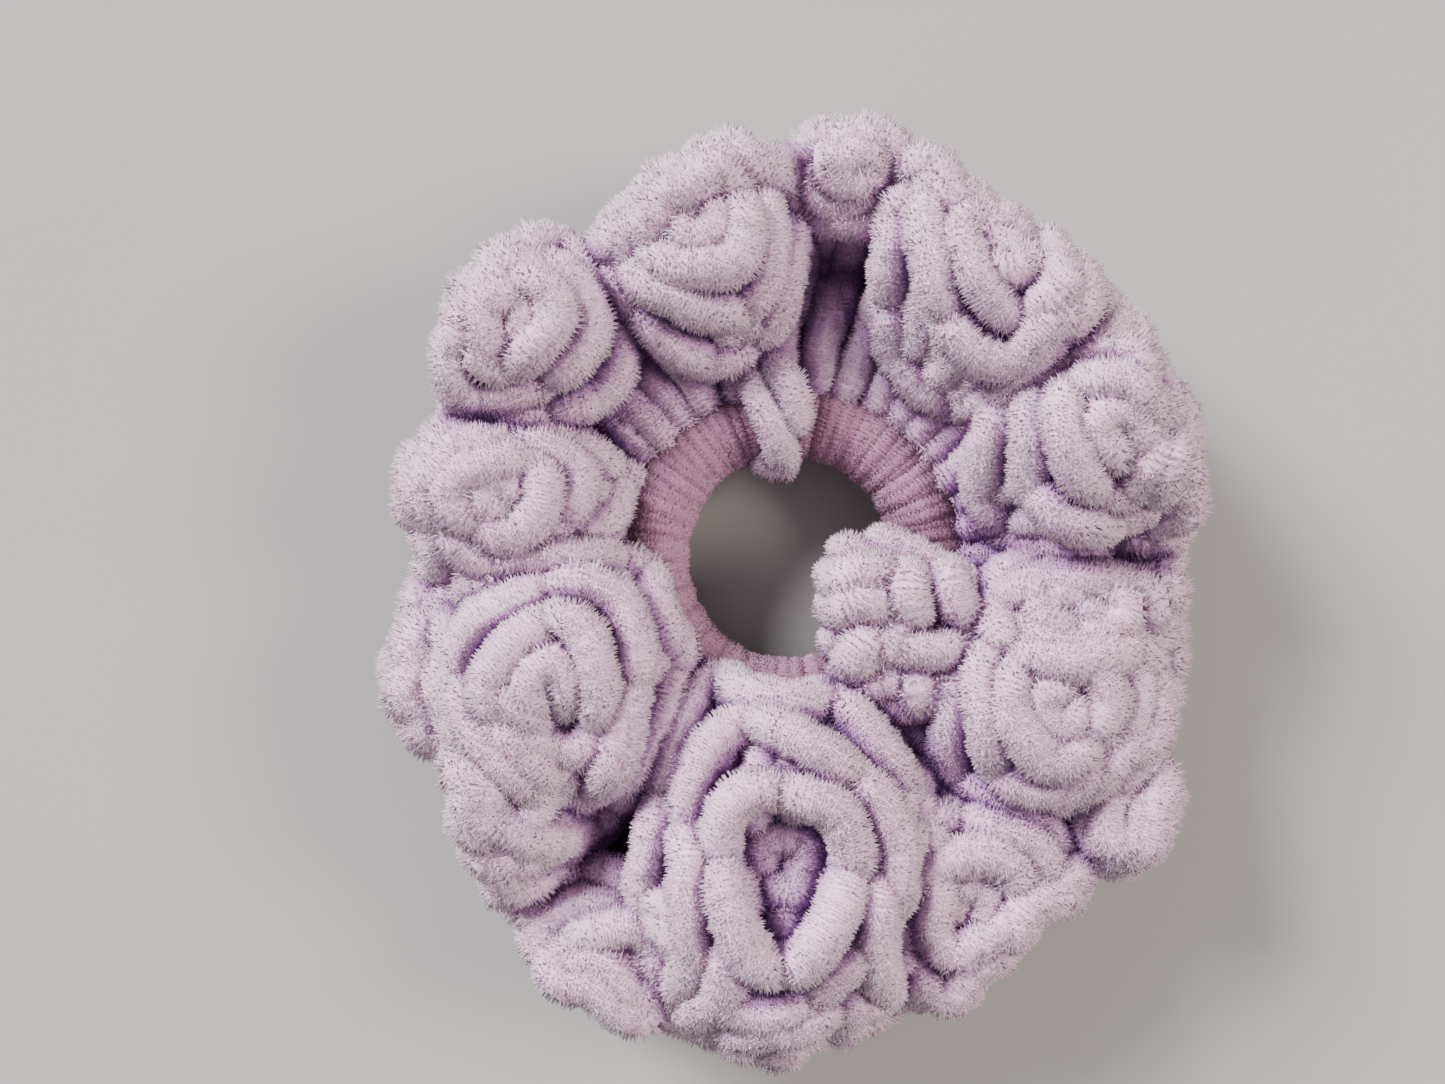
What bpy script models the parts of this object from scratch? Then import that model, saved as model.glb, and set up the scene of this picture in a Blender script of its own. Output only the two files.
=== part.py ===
"""Crocheted ruffle scrunchie: chenille yarn worked round a sheathed hair elastic.

The ring is cut into clock sectors, 12 at the top. Each sector is one body that slides outwards
when the elastic is stretched, so every round of crochet is one solid in each sector.
The sector at 12 is two halves, because the rounds are closed there with a slip stitch.
Units are metres, +Z is up, and the origin is on the table under the middle of the ruffle.
"""

import math

import bmesh
import bpy
from mathutils import Vector

MM = 0.001

# The hair elastic, on a ring that lies flat.
RING_CENTRE = Vector((0.0, 5.0 * MM, 0.0))
RING_RADIUS = 23.5 * MM
RING_HEIGHT = 15.0 * MM
CORE_RADIUS = 1.6 * MM
SHEATH_BORE = 2.1 * MM
SHEATH_RADIUS = 2.6 * MM
BOND_ARC = 12.0
BOND_AT = 270.0

# The foundation round, worked over the elastic.
COLLAR_BORE = 3.2 * MM
COLLAR_RADIUS = 7.0 * MM

# The clearances between neighbours.
GAP = 0.3 * MM
SECTOR_ARC = 30.0
SEGMENT_ARC = 10.0
BORE_SIDES = 8
TUBE_SIDES = 16

# The ruffle: the first round stands on the collar and carries the edge round.
HUG_RADIUS = COLLAR_RADIUS + 1.5 * GAP
FOOT_RADIUS = 31.5 * MM
EDGE_SHARE = 0.52
VALLEY_REACH = 0.90
VALLEY_HEIGHT = 0.84
LOBE_STEPS = 4
SLIP_SHELL = 3.2 * MM
SLIP_ARC = 19.0

# One row for each clock sector: the ruffle's reach from the ring's centre, its height,
# and how far round the collar it leans, in degrees from the outside over the top.
LOBES = {
    "06": (83.0, 44.0, 150.0),
    "05": (76.0, 40.0, 85.0),
    "04": (74.8, 38.0, 60.0),
    "03": (68.0, 43.0, 45.0),
    "02": (69.0, 46.0, 40.0),
    "01": (68.0, 44.0, 35.0),
    "12_right": (73.0, 38.0, 35.0),
    "12_left": (73.0, 38.0, 30.0),
    "11": (66.0, 40.0, 30.0),
    "10": (68.0, 39.0, 30.0),
    "09": (68.0, 38.0, 35.0),
    "08": (71.0, 41.0, 45.0),
    "07": (80.0, 41.0, 95.0),
}

# The fold at 4 turns inwards and lies across the collar and part of the hole.
FOLD_AT = 330.0
FOLD_TIP = 6.0 * MM
FOLD_ROOT = 26.3 * MM
FOLD_WIDTH = 12.0 * MM
FOLD_UNDERSIDE = RING_HEIGHT + COLLAR_RADIUS + 2 * GAP
FOLD_THICKNESS = 8.5 * MM


def outward(degrees):
    """The horizontal direction from the ring's centre at an angle from +X."""
    angle = math.radians(degrees)
    return Vector((math.cos(angle), math.sin(angle), 0.0))


def sector_span(name):
    """The first and last angle of a clock sector."""
    middle = 90.0 - SECTOR_ARC * int(name[:2])
    low, high = middle - SECTOR_ARC / 2, middle + SECTOR_ARC / 2
    if name.endswith("right"):
        high = middle
    if name.endswith("left"):
        low = middle
    return low, high


def principled(name, colour, roughness):
    """A matte material of one colour."""
    material = bpy.data.materials.new(name)
    material.use_nodes = True
    shader = material.node_tree.nodes["Principled BSDF"]
    shader.inputs["Base Color"].default_value = (*colour, 1.0)
    shader.inputs["Roughness"].default_value = roughness
    shader.inputs["Metallic"].default_value = 0.0
    return material


def add_object(name, shape, material):
    """Links a finished bmesh to the scene as one named object, shaded smooth."""
    bmesh.ops.recalc_face_normals(shape, faces=shape.faces)
    mesh = bpy.data.meshes.new(name)
    shape.to_mesh(mesh)
    shape.free()
    mesh.shade_smooth()
    mesh.set_sharp_from_angle(angle=math.radians(40.0))
    mesh.materials.append(material)
    item = bpy.data.objects.new(name, mesh)
    bpy.context.scene.collection.objects.link(item)
    return item


def place(angle, radius, height, shift=0.0):
    """A point at an angle, a radius from the ring's centre and a height, shifted along the ring."""
    return RING_CENTRE + outward(angle) * radius + outward(angle + 90.0) * shift + Vector((0, 0, height))


def add_loop(shape, angle, profile, shift=0.0):
    """Adds one closed profile of (radius, height) points, standing on a radial plane."""
    return [shape.verts.new(place(angle, radius, height, shift)) for radius, height in profile]


def bridge(shape, loops):
    """Joins each loop to the next with a band of quads."""
    for first, second in zip(loops, loops[1:]):
        count = len(first)
        for i in range(count):
            j = (i + 1) % count
            shape.faces.new((first[i], first[j], second[j], second[i]))


def circle_profile(radius, sides):
    """A circle round the elastic's centre line, as (radius, height) points."""
    turns = [2.0 * math.pi * i / sides for i in range(sides)]
    return [(RING_RADIUS + radius * math.cos(a), RING_HEIGHT + radius * math.sin(a)) for a in turns]


def stations(low, high, steps):
    """Evenly spaced angles with a shift that holds the two end faces half a gap from the sector's edge."""
    rows = []
    for i in range(steps + 1):
        shift = GAP / 2 if i == 0 else -GAP / 2 if i == steps else 0.0
        rows.append((low + (high - low) * i / steps, shift))
    return rows


def build_ring(name, radius, sides, material):
    """A closed round ring on the elastic's centre line."""
    shape = bmesh.new()
    count = round(360.0 / SEGMENT_ARC)
    loops = [add_loop(shape, SEGMENT_ARC * i, circle_profile(radius, sides)) for i in range(count)]
    bridge(shape, loops + loops[:1])
    return add_object(name, shape, material)


def cap_annulus(shape, outer, inner):
    """Closes a tube's end between its outer loop and its inner one, which has as many points or half."""
    ratio = len(outer) // len(inner)
    for i in range(len(inner)):
        j = (i + 1) % len(inner)
        fan = [outer[(i * ratio + k) % len(outer)] for k in range(ratio + 1)]
        shape.faces.new((fan[-2], fan[-1], inner[j], inner[i]))
        if ratio == 2:
            shape.faces.new((fan[0], fan[1], inner[i]))


def build_tube_arc(name, low, high, bore, radius, sides, material):
    """A tube bent along the ring, open at both ends, where its wall shows as a flat annulus."""
    shape = bmesh.new()
    rows = stations(low, high, round((high - low) / SEGMENT_ARC))
    outer = [add_loop(shape, angle, circle_profile(radius, sides), shift) for angle, shift in rows]
    inner = [add_loop(shape, angle, circle_profile(bore, BORE_SIDES), shift) for angle, shift in rows]
    bridge(shape, outer)
    bridge(shape, inner)
    for end in (0, -1):
        cap_annulus(shape, outer[end], inner[end])
    return add_object(name, shape, material)


def hug_points(first, last, count):
    """Points just clear of the collar, from one angle round its section to another."""
    turns = [math.radians(first + (last - first) * i / (count - 1)) for i in range(count)]
    return [(RING_RADIUS + HUG_RADIUS * math.cos(a), RING_HEIGHT + HUG_RADIUS * math.sin(a)) for a in turns]


def split_radius(reach):
    """The radius where the first round ends and the edge round begins."""
    return FOOT_RADIUS + (reach - FOOT_RADIUS) * EDGE_SHARE


def round_profile(reach, height, lean):
    """The first round's section: it hugs the collar, stands on the table and ends at the edge round."""
    split = split_radius(reach) - GAP / 2
    hook = hug_points(lean, -50.0, 7)
    crown = RING_RADIUS + (HUG_RADIUS + 4.0 * MM) * math.cos(math.radians(lean))
    rise = max(height * 0.72, RING_HEIGHT + HUG_RADIUS + 5.0 * MM)
    return hook + [
        (FOOT_RADIUS, 0.0),
        (split, 0.0),
        (split, height * 0.98),
        (FOOT_RADIUS + 4.0 * MM, height),
        ((FOOT_RADIUS + crown) / 2, height * 0.93),
        (crown, rise),
    ]


def edge_profile(split, reach, height):
    """The edge round's section: a rounded block outside the first round."""
    return [
        (split, 0.0),
        (reach - 7.0 * MM, 0.0),
        (reach - 1.5 * MM, height * 0.16),
        (reach, height * 0.40),
        (reach - 2.0 * MM, height * 0.66),
        (reach - 7.0 * MM, height * 0.88),
        (split, height * 0.98),
    ]


def build_lobe(name, sector, profile_at, material):
    """Lofts one sector of a round: full size at the clock mark, smaller at the valleys between the marks."""
    shape = bmesh.new()
    low, high = sector_span(sector)
    steps = round(LOBE_STEPS * (high - low) / SECTOR_ARC)
    mark = 90.0 - SECTOR_ARC * int(sector[:2])
    loops = []
    for angle, shift in stations(low, high, steps):
        crest = math.cos(math.pi * (angle - mark) / SECTOR_ARC)
        loops.append(add_loop(shape, angle, profile_at(crest), shift))
    bridge(shape, loops)
    shape.faces.new(loops[0])
    shape.faces.new(loops[-1])
    bmesh.ops.triangulate(shape, faces=[face for face in shape.faces if len(face.verts) > 4])
    return add_object(name, shape, material)


def build_slip_stitch(name, low, high, material):
    """The stitch that closes the foundation round: a saddle over the collar's top and inner side."""
    shape = bmesh.new()
    first, last, count = 60.0, 215.0, 9
    turns = [math.radians(first + (last - first) * i / (count - 1)) for i in range(count)]

    def arc(radius, angles):
        return [(RING_RADIUS + radius * math.cos(a), RING_HEIGHT + radius * math.sin(a)) for a in angles]

    section = arc(HUG_RADIUS, turns) + arc(HUG_RADIUS + SLIP_SHELL, reversed(turns))
    loops = [add_loop(shape, angle, section, shift) for angle, shift in stations(low, high, 2)]
    bridge(shape, loops)
    for loop in (loops[0], loops[-1]):
        for i in range(count - 1):
            shape.faces.new((loop[i], loop[i + 1], loop[2 * count - 2 - i], loop[2 * count - 1 - i]))
    return add_object(name, shape, material)


def build_inward_fold(name, material):
    """A pad that lies on the collar and reaches into the hole, with sections parallel to its middle one."""
    shape = bmesh.new()
    steps = 4
    loops = []
    for i in range(steps + 1):
        side = 2.0 * i / steps - 1.0
        crest = math.sqrt(1.0 - 0.75 * side * side)
        middle = (FOLD_TIP + FOLD_ROOT) / 2
        tip = middle - (middle - FOLD_TIP) * crest
        top = FOLD_UNDERSIDE + FOLD_THICKNESS * crest
        section = [
            (tip + 2.0 * MM, FOLD_UNDERSIDE),
            (FOLD_ROOT, FOLD_UNDERSIDE),
            (FOLD_ROOT, top - 2.0 * MM),
            (FOLD_ROOT - 3.0 * MM, top),
            (middle, top),
            (tip + 3.0 * MM, top - 1.5 * MM),
            (tip, (top + FOLD_UNDERSIDE) / 2),
        ]
        loops.append(add_loop(shape, FOLD_AT, section, side * FOLD_WIDTH / 2))
    bridge(shape, loops)
    shape.faces.new(loops[0])
    shape.faces.new(loops[-1])
    return add_object(name, shape, material)


def build_sector(name, yarns):
    """The three rounds of crochet in one clock sector."""
    low, high = sector_span(name)
    reach, height, lean = LOBES[name]
    reach, height = reach * MM, height * MM

    def first_round(crest):
        tall = height * (VALLEY_HEIGHT + (1.0 - VALLEY_HEIGHT) * crest)
        return round_profile(reach, tall, lean)

    def edge_round(crest):
        tall = height * (VALLEY_HEIGHT + (1.0 - VALLEY_HEIGHT) * crest)
        wide = FOOT_RADIUS + (reach - FOOT_RADIUS) * (VALLEY_REACH + (1.0 - VALLEY_REACH) * crest)
        return edge_profile(split_radius(reach) + GAP / 2, wide, tall)

    build_tube_arc("collar_" + name, low, high, COLLAR_BORE, COLLAR_RADIUS, TUBE_SIDES, yarns["collar"])
    build_lobe("ruffle_" + name, name, first_round, yarns["ruffle"])
    build_lobe("edge_" + name, name, edge_round, yarns["edge"])


def main():
    for item in list(bpy.data.objects):
        bpy.data.objects.remove(item)
    yarns = {
        "collar": principled("foundation round yarn", (0.60, 0.47, 0.66), 0.95),
        "ruffle": principled("ruffle round yarn", (0.66, 0.54, 0.72), 0.95),
        "edge": principled("edge round yarn", (0.72, 0.61, 0.77), 0.95),
    }
    build_ring("elastic_core", CORE_RADIUS, BORE_SIDES, principled("latex", (0.35, 0.30, 0.26), 0.6))
    sheath = principled("knitted sheath", (0.50, 0.38, 0.58), 0.9)
    bond_low, bond_high = BOND_AT - BOND_ARC / 2, BOND_AT + BOND_ARC / 2
    sheath_low, sheath_high = bond_high, bond_low + 360.0
    build_tube_arc("elastic_sheath", sheath_low, sheath_high, SHEATH_BORE, SHEATH_RADIUS, BORE_SIDES, sheath)
    bond = principled("bonded joint", (0.45, 0.34, 0.50), 0.4)
    build_tube_arc("elastic_joint", bond_low, bond_high, SHEATH_BORE, SHEATH_RADIUS, BORE_SIDES, bond)
    for name in LOBES:
        build_sector(name, yarns)
    build_inward_fold("inward_fold", yarns["edge"])
    slip = principled("slip stitch yarn", (0.64, 0.52, 0.70), 0.95)
    build_slip_stitch("slip_stitch", 90.0 + 0.8, 90.0 + 0.8 + SLIP_ARC, slip)


main()
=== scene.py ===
"""A crocheted scrunchie: pile yarn worked tightly round a hair elastic, then two rounds of ruffle.

Every strand is a smooth route on the ruffle's own relief, with its pile as rows of fine closed tufts.
Lengths inside the functions are millimetres from the ring's centre at table height; meshes are in metres.
"""
import math

import bpy
import numpy as np
from bpy.props import FloatProperty, FloatVectorProperty, IntProperty, PointerProperty
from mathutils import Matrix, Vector


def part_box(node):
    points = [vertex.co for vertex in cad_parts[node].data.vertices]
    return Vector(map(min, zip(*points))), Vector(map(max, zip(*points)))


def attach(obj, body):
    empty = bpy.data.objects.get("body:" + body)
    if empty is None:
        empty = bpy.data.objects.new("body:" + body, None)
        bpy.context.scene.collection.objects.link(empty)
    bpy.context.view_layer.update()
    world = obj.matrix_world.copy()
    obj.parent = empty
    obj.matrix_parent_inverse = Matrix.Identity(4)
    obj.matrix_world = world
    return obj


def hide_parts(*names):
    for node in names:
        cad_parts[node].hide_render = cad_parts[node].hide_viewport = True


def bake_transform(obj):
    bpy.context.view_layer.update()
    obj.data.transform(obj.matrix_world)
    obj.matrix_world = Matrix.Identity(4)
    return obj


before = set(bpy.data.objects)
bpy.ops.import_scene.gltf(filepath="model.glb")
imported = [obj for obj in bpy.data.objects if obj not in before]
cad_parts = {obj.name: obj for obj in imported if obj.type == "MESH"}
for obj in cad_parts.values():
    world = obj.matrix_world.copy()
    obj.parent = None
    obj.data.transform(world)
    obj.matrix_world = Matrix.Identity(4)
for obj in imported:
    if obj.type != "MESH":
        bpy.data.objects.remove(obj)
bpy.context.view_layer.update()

bl_info = {
    "name": "Crocheted scrunchie",
    "version": (1, 0, 0),
    "blender": (4, 5, 0),
    "location": "3D View > Sidebar > Scrunchie",
    "description": "Builds a crocheted ruffle scrunchie of soft pile yarn round its packed model",
    "category": "Add Mesh",
}

MM = 0.001
UP = np.array([0.0, 0.0, 1.0])


# ---- What the frame says ----

def ring_of_elastic():
    """Centre, radius and height of the elastic's centre line in millimetres, from its sheath in the frame."""
    low, high = (np.array(corner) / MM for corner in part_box("elastic_sheath"))
    thickness = (high[2] - low[2]) / 2
    radius = (high[0] - low[0]) / 2 - thickness
    centre = np.array([(high[0] + low[0]) / 2, high[1] - thickness - radius, 0.0])
    return centre, radius, (high[2] + low[2]) / 2, thickness


RING_CENTRE, RING_RADIUS, RING_HEIGHT, SHEATH_RADIUS = ring_of_elastic()

# The ring's bodies in the order of their joints, each with its clock mark as an angle from +X.
RIGHT_CHAIN = [
    ("06", 270), ("05", 300), ("04", 330), ("03", 360), ("02", 390), ("01", 420), ("12_right", 450),
]
LEFT_CHAIN = [
    ("06", 270), ("07", 240), ("08", 210), ("09", 180), ("10", 150), ("11", 120), ("12_left", 90),
]
PAIRS = [(*first, *second) for chain in (RIGHT_CHAIN, LEFT_CHAIN) for first, second in zip(chain, chain[1:])]
# The inner radius of each round: of the edge round, and of the ruffle at the hole's edge.
EDGE_STARTS = 46.0
HOLE_EDGE = 19.5


# ---- The ruffle's relief ----

# Each lobe's rounded mounds: centre x and y, half widths along x and y, and height of the crest.
MOUNDS = {
    "lobe_01": [(34.7, 49.2, 22, 25, 45)],
    "lobe_02": [(49.5, 19.5, 20, 20, 44)],
    "lobe_03": [(46.2, -8.6, 16, 8, 32)],
    "lobe_04": [(41.2, -23.4, 18, 18, 38), (54.5, -41.6, 10, 12, 31)],
    "lobe_05": [(28.0, -54.8, 18, 20, 33)],
    "lobe_06": [(-1.7, -48.2, 24, 32, 44)],
    "lobe_07": [(-28.0, -64.7, 17, 14, 31)],
    "lobe_08": [(-38.0, -20.0, 20, 24, 42), (-46.2, -38.3, 12, 16, 37), (-59.4, -21.8, 8, 15, 29)],
    "lobe_09": [(-46.2, 9.6, 17, 13, 38)],
    "lobe_10": [(-44.6, 37.6, 17, 17, 39)],
    "lobe_11": [(-14.9, 52.5, 17, 20, 40)],
    "lobe_12_right": [(9.9, 64.0, 11, 11, 35)],
}
# The hollows that the yarn curls round: centre x and y, radius and depth.
CAVITIES = [
    (-1.0, -47.0, 8, 9), (54.5, 4.5, 8, 8), (-33.5, -39.0, 6, 7), (-36.5, -26.0, 4.5, 5), (5.5, 49.0, 6, 7),
]
VALLEY_TOP = 26.0
# The shoulder along the outline: its height at the outline, its rise and the width that it takes.
RIM_HEIGHT, RIM_RISE, RIM_WIDTH = 20.0, 28.0, 16.0
# The outline is the one at this height; higher parts draw in by this share of their radius per millimetre.
OUTLINE_HEIGHT = 20.0
DRAW_IN = 1 / 280
# The wavy edge: how many waves go round and how deep they are.
EDGE_WAVES, EDGE_WAVE_DEPTH = 46, 1.8

# The outline seen from above: angle from +X in degrees, and radius.
OUTLINE = np.array([
    (0, 66), (30, 68.6), (61, 65.8), (85, 73), (92, 66), (99, 70), (123, 62), (130, 69.5), (142, 69.8),
    (150, 66), (159, 62.5), (169, 67.5), (180, 62), (198, 71), (213, 67), (240, 80.5), (265, 83), (291, 78),
    (303, 73), (324, 77), (332, 70), (360, 66),
])


def outline(angle):
    """The outline's radius at these angles in degrees."""
    return np.interp(np.mod(angle, 360), OUTLINE[:, 0], OUTLINE[:, 1])


def outline_inset(x, y):
    """How far inside the outline these places are."""
    return outline(np.degrees(np.arctan2(y, x))) - np.hypot(x, y)


def ruffle_top(x, y):
    """Height of the ruffle's upper surface at these places, rounded off towards the outline."""
    top = np.full(np.shape(x), VALLEY_TOP)
    for mounds in MOUNDS.values():
        for centre_x, centre_y, half_x, half_y, crest in mounds:
            share = ((x - centre_x) / half_x) ** 2 + ((y - centre_y) / half_y) ** 2
            dome = np.clip(1 - share, 0, 1) ** 0.7
            top = np.maximum(top, VALLEY_TOP + (crest - VALLEY_TOP) * dome)
    for centre_x, centre_y, radius, depth in CAVITIES:
        share = np.hypot(x - centre_x, y - centre_y) / radius
        top = top - depth * np.exp(-share ** 4)
    rim = RIM_HEIGHT + RIM_RISE * np.sqrt(np.clip(outline_inset(x, y) / RIM_WIDTH, 0, 1))
    return np.minimum(top, rim)


def relief_normal(x, y):
    """The direction that the upper surface faces at these places."""
    step = 2.5
    slope_x = (ruffle_top(x + step, y) - ruffle_top(x - step, y)) / (2 * step)
    slope_y = (ruffle_top(x, y + step) - ruffle_top(x, y - step)) / (2 * step)
    return unit(np.column_stack([-slope_x, -slope_y, np.ones(len(x))]))


# Rows of stitches down the ruffle's outside: height, inset and half the rise of a stitch.
FLANK_ROWS = [(6.4, 2.8, 0.9), (12.0, 0.4, 3.2), (18.4, 0.0, 3.2), (24.6, 0.3, 3.0), (30.4, 1.0, 2.6)]
FLANK_WAVE, FLANK_FLOOR = 0.9, 5.9
# Half the width of a flank stitch, and the distance from one to the next.
FLANK_HALF_WIDTH, FLANK_SPACING = 3.6, 5.6
# The filling strands: their inner radius, their inset from the outline (or None for the ring that ends
# at the radius below), the angle between them and how far they lie under the relief.
FILLING_ROWS = [(27.0, None, 9.0, 5.5), (40.0, 8.0, 5.5, 6.0)]
FILLING_RING_END = 47.0
# The underside: inner and outer radius (or None for the outline less its inset), angle and height.
UNDERSIDE_ROWS = [(29.0, 50.0, 8.0, 5.8), (46.0, None, 5.5, 5.6)]
UNDERSIDE_INSET = 10.0
# The stitch in the corner between the inward fold and the lobes beside it.
FOLD_CORNER = [(13.0, -24.0), (20.0, -28.0), (27.0, -33.0)]


# ---- The strands' routes ----

# The curls of a lobe: rings at these shares of its half widths, cut into strands about this long.
CURL_SHARES = (0.16, 0.42, 0.68, 0.94)
CURL_LENGTH = 21.0
# A strand fills this share of its place in a ring, and weaves in and out by this share of the radius.
CURL_FILL, CURL_WEAVE = 0.94, 0.10

# The inward fold's strands, in plan.
FOLD_ROUTES = [
    [(6.5, -4.5), (10, -2.5), (15, -2)],
    [(7, -8.5), (11, -7), (15, -7.5)],
    [(18.5, -1.5), (18, -6), (20, -9.5)],
    [(24, -1.5), (25.5, -5.5), (27, -10.5)],
    [(13, -11), (10.5, -14.5), (9.5, -18.5)],
    [(15.5, -9.5), (16.5, -12), (13.5, -16)],
    [(15.5, -14.5), (21.5, -14.5), (28, -14)],
    [(10.5, -21), (15, -19.5), (18, -21)],
    [(19.5, -17.5), (20, -24)],
    [(24, -18.5), (23.5, -24)],
]


# ---- Curves ----

def unit(vectors):
    """These vectors at length 1."""
    return vectors / np.maximum(np.linalg.norm(vectors, axis=-1, keepdims=True), 1e-9)


def polar(radius, angle, height):
    """A point at this radius, angle in degrees and height."""
    turn = math.radians(angle)
    return np.array([radius * math.cos(turn), radius * math.sin(turn), height])


def even_line(line, spacing):
    """The same line with its points an even distance apart."""
    along = np.concatenate([[0.0], np.cumsum(np.linalg.norm(np.diff(line, axis=0), axis=1))])
    count = max(3, round(along[-1] / spacing) + 1)
    wanted = np.linspace(0, along[-1], count)
    return np.column_stack([np.interp(wanted, along, column) for column in line.T])


def smooth_line(points, spacing=0.5):
    """A smooth curve through these points."""
    points = np.asarray(points, float)
    padded = np.vstack([2 * points[0] - points[1], points, 2 * points[-1] - points[-2]])
    share = np.linspace(0, 1, 11)[:-1, None]
    spans = []
    for before, start, end, after in zip(padded, padded[1:], padded[2:], padded[3:]):
        bend = 2 * before - 5 * start + 4 * end - after
        twist = 3 * start - before - 3 * end + after
        spans.append((2 * start + (end - before) * share + bend * share ** 2 + twist * share ** 3) / 2)
    return even_line(np.vstack([*spans, points[-1:]]), spacing)


def soften(values, reach):
    """The same values, averaged over their neighbours."""
    kernel = np.hanning(2 * reach + 3)[1:-1]
    padded = np.pad(values, reach, mode="edge")
    return np.convolve(padded, kernel / kernel.sum(), mode="valid")


class Strand:
    """One run of yarn: its centre line, the way it faces, its radius and how its pile stands."""

    def __init__(self, line, facing, radius, round_name, pile=1.0, reach=-0.35, closed=False, blunt=False):
        self.line = line
        self.radius = radius
        self.round_name = round_name
        self.pile = pile
        self.reach = reach
        self.closed = closed
        self.blunt = blunt
        if closed:
            around = np.vstack([line[-1:], line, line[:1]])
            self.tangent = unit(around[2:] - around[:-2])
        else:
            self.tangent = unit(np.gradient(line, axis=0))
        self.facing = unit(np.broadcast_to(facing, line.shape).astype(float))
        self.normal = unit(self.facing - self.tangent * (self.facing * self.tangent).sum(1)[:, None])
        self.side = np.cross(self.tangent, self.normal)
        ends = [line, line[:1]] if closed else [line]
        steps = np.linalg.norm(np.diff(np.vstack(ends), axis=0), axis=1)
        self.along = np.concatenate([[0.0], np.cumsum(steps)])
        self.length = self.along[-1]

    def read(self, values, place):
        """A value of the line's points at these lengths along it."""
        if self.closed:
            values = np.vstack([values, values[:1]])
        return np.column_stack([np.interp(place, self.along, column) for column in values.T])

    def ball_centres(self, spacing=1.2):
        """The centres of balls that fill the strand and its round ends."""
        trim = 0.0 if self.closed or self.blunt else min(self.radius, 0.49 * self.length)
        count = max(2, round((self.length - 2 * trim) / spacing) + 1)
        return self.read(self.line, np.linspace(trim, self.length - trim, count))

    def swell(self, place, turn):
        """How plump the strand is there: fuller at mid length, with soft lumps."""
        phase = abs(self.line.sum())
        if self.blunt:
            return np.ones(len(place))
        if self.closed:
            return 1 + 0.05 * np.sin(place * 0.9 + phase) * np.cos(turn + phase)
        share = np.clip(place / self.length, 0, 1)
        body = 0.90 + 0.14 * np.sin(np.pi * share)
        body = body + 0.08 * np.sin(place * 0.8 + phase) * np.cos(2 * turn + 1.7 * phase)
        return body + 0.05 * np.sin(place * 1.9 + 2 * phase) * np.cos(turn + phase)

    def fluff(self, place, turn):
        """How long the pile stands there, in soft clumps round 1."""
        phase = abs(self.line.sum())
        return 1 + 0.35 * np.sin(place * 2.3 + phase) * np.sin(3 * turn + 2 * phase)

    def skin(self, place, turn, share):
        """Points at this share of the radius and outward directions, along the strand and about it."""
        centre = self.read(self.line, place)
        tangent = unit(self.read(self.tangent, place))
        normal = unit(self.read(self.normal, place))
        side = unit(self.read(self.side, place))
        outward = normal * np.cos(turn)[:, None] + side * np.sin(turn)[:, None]
        cap = np.zeros(len(place))
        if not (self.closed or self.blunt):
            cap = np.clip(1 - place / self.radius, 0, 1)
            cap = cap - np.clip(1 - (self.length - place) / self.radius, 0, 1)
        across = np.sqrt(1 - cap ** 2)
        points = centre + outward * (across * self.radius * share * self.swell(place, turn))[:, None]
        directions = unit(outward * across[:, None] - tangent * cap[:, None])
        return points, directions, tangent


def within_ruffle(plan, margin):
    """These places kept between the hole and the outline, this far from both."""
    radius = np.maximum(np.hypot(*plan.T), 1e-6)
    height = ruffle_top(*plan.T) - OUTLINE_HEIGHT
    turn = np.arctan2(plan[:, 1], plan[:, 0])
    wave = EDGE_WAVE_DEPTH * (0.5 + 0.5 * np.cos(EDGE_WAVES * turn + 3 * np.cos(5 * turn)))
    outer = outline(np.degrees(turn)) * (1 - height * DRAW_IN) - margin - wave
    return plan * (np.clip(radius, HOLE_EDGE + margin, outer) / radius)[:, None]


def on_relief(route, sizes, rng, lift=0.0, round_name=None, floor=None):
    """A strand that lies on the ruffle's relief, raised in the middle and diving in at both ends."""
    plan = smooth_line(route, 0.5)
    tail = sizes.tail / MM if floor is None else 0.0
    start, end = unit(plan[0] - plan[2]), unit(plan[-1] - plan[-3])
    plan = even_line(np.vstack([plan[0] + start * tail, plan, plan[-1] + end * tail]), 0.5)
    if floor is None:
        margin = (sizes.strand_radius + sizes.pile_length) / MM + rng.uniform(-1.2, 1.0)
        plan = even_line(within_ruffle(plan, margin), 0.5)
    along = np.arange(len(plan)) * 0.5
    from_end = np.minimum(along, along[-1] - along)
    dive = np.clip(1 - from_end / (tail + 3.0), 0, 1) ** 1.6 * sizes.dive / MM
    top = ruffle_top(plan[:, 0], plan[:, 1]) if floor is None else floor(plan[:, 0], plan[:, 1])
    height = soften(top, 5) - sizes.strand_radius / MM - sizes.pile_length / MM * 0.6
    height = height + lift + rng.uniform(-0.6, 0.6) + 1.2 * np.sin(np.pi * along / along[-1]) - dive
    line = np.column_stack([plan, np.maximum(height, 6.0)])
    if round_name is None:
        round_name = "edge" if np.hypot(*plan.mean(0)) > EDGE_STARTS else "ruffle"
    radius = sizes.strand_radius / MM * rng.uniform(0.95, 1.06)
    return Strand(line, relief_normal(plan[:, 0], plan[:, 1]), radius, round_name)


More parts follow.
